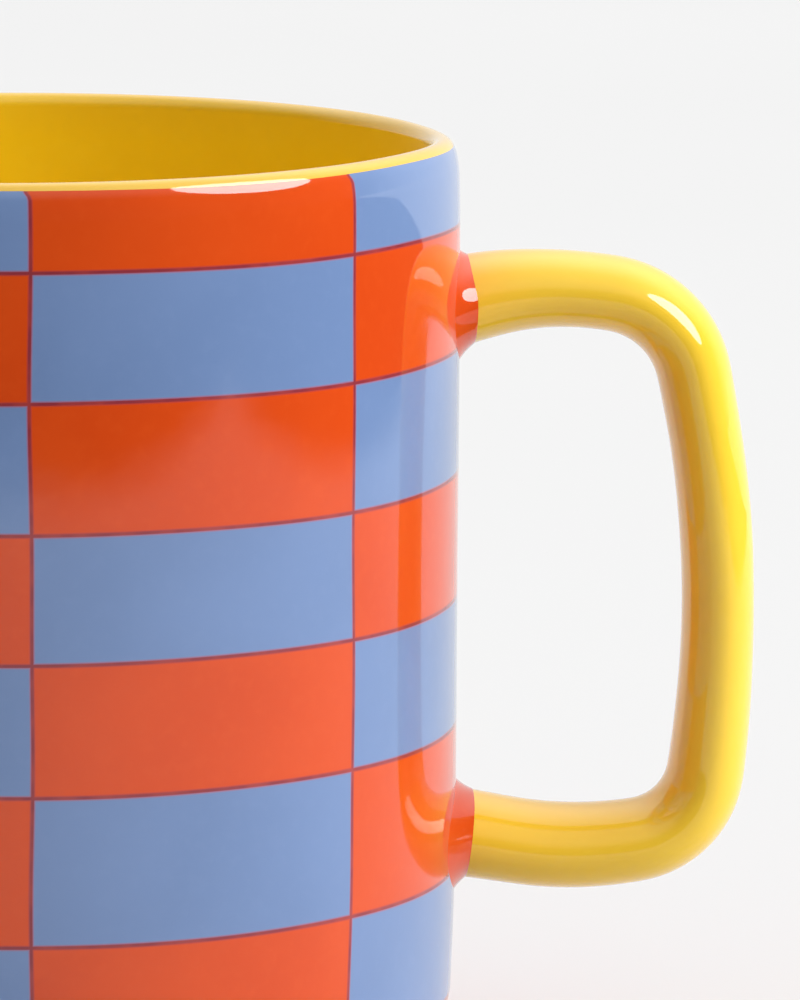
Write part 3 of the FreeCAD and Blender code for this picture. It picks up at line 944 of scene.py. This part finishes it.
def make_softbox(name, azimuth, elevation, distance, span, radiance):
    """A round light facing the mug. Azimuth 0 is +X and 90 is +Y; span in degrees."""
    side = 2 * distance * math.tan(math.radians(span) / 2)
    light = bpy.data.lights.new(name, "AREA")
    light.shape = "DISK"
    light.size = side
    light.energy = radiance * math.pi * math.pi * side * side / 4
    lamp = bpy.data.objects.new(name, light)
    away = toward(azimuth, elevation)
    lamp.location = Vector((0, 0, 0.05)) + away * distance
    lamp.rotation_mode = "QUATERNION"
    lamp.rotation_quaternion = (-away).to_track_quat("-Z", "Y")
    lamp.visible_camera = False
    bpy.context.collection.objects.link(lamp)
    return lamp


# where the room is pale: axis, where it starts and is full, and how much
ROOM = {
    "back": ("Y", 0.0, 0.6, 0.87),
    "above": ("Z", 0.3, 0.8, 0.89),
}
ROOM_DARK = 0.04


def make_world():
    """A studio whose walls and ceiling are pale and whose front is dark."""
    world = bpy.data.worlds.new("studio")
    bpy.context.scene.world = world
    world.use_nodes = True
    tree = world.node_tree
    tree.nodes.clear()
    place = tree.nodes.new("ShaderNodeTexCoord")
    split = tree.nodes.new("ShaderNodeSeparateXYZ")
    tree.links.new(place.outputs["Generated"], split.inputs[0])
    total = None
    for axis, start, full, gain in ROOM.values():
        step = tree.nodes.new("ShaderNodeMapRange")
        step.interpolation_type = "SMOOTHSTEP"
        step.inputs["From Min"].default_value = start
        step.inputs["From Max"].default_value = full
        step.inputs["To Max"].default_value = gain
        tree.links.new(split.outputs[axis], step.inputs["Value"])
        add = tree.nodes.new("ShaderNodeMath")
        add.operation = "ADD"
        add.inputs[0].default_value = ROOM_DARK
        if total is not None:
            tree.links.new(total, add.inputs[0])
        tree.links.new(step.outputs[0], add.inputs[1])
        total = add.outputs[0]
    background = tree.nodes.new("ShaderNodeBackground")
    background.inputs["Color"].default_value = (1.0, 1.0, 1.0, 1.0)
    tree.links.new(total, background.inputs["Strength"])
    out = tree.nodes.new("ShaderNodeOutputWorld")
    tree.links.new(background.outputs[0], out.inputs["Surface"])


# Each softbox: azimuth, elevation, distance, span, radiance, and the rays that miss it. The
# glaze reflects only the key's face, which stands near, so that its glints fall on the rim,
# the handle's bend and the collars.
SOFTBOXES = {
    "key": ((-30, 31, 12.0, 34, 4.8), "glossy"),
    "key_face": ((-22, 35, 0.8, 34, 13.0), "diffuse"),
    "side": ((0, 20, 12.0, 50, 4.3), "glossy"),
}


def make_lights():
    make_world()
    for name, place in DARK_ROOM.items():
        make_card(name, *place)
    for name, (place, missed) in SOFTBOXES.items():
        lamp = make_softbox(name, *place)
        setattr(lamp, f"visible_{missed}", False)


# metres, radians and millimetres; the camera looks along +Y, turned a little towards +X
CAMERA_DISTANCE = 0.9488
CAMERA_HEIGHT = 0.2074
CAMERA_YAW = math.radians(2.5347)
CAMERA_PITCH = math.radians(8.738)
CAMERA_ROLL = math.radians(0.1496)
CAMERA_LENS = 324.22


def make_camera():
    data = bpy.data.cameras.new("camera")
    data.lens = CAMERA_LENS
    data.sensor_width = 36.0
    data.clip_start, data.clip_end = 0.05, 50.0
    camera = bpy.data.objects.new("camera", data)
    level = math.cos(CAMERA_PITCH)
    ahead = Vector((
        math.sin(CAMERA_YAW) * level, math.cos(CAMERA_YAW) * level, -math.sin(CAMERA_PITCH)
    ))
    right = Vector((math.cos(CAMERA_YAW), -math.sin(CAMERA_YAW), 0.0))
    up = right.cross(ahead)
    turned_right = right * math.cos(CAMERA_ROLL) + up * math.sin(CAMERA_ROLL)
    turned_up = up * math.cos(CAMERA_ROLL) - right * math.sin(CAMERA_ROLL)
    turn = Matrix((turned_right, turned_up, -ahead)).transposed()
    place = Vector((0.0, -CAMERA_DISTANCE, CAMERA_HEIGHT))
    camera.matrix_world = Matrix.Translation(place) @ turn.to_4x4()
    bpy.context.collection.objects.link(camera)
    bpy.context.scene.camera = camera
    bpy.context.scene.view_settings.view_transform = "Standard"


make_camera()
build_mug()
make_floor()
make_lights()
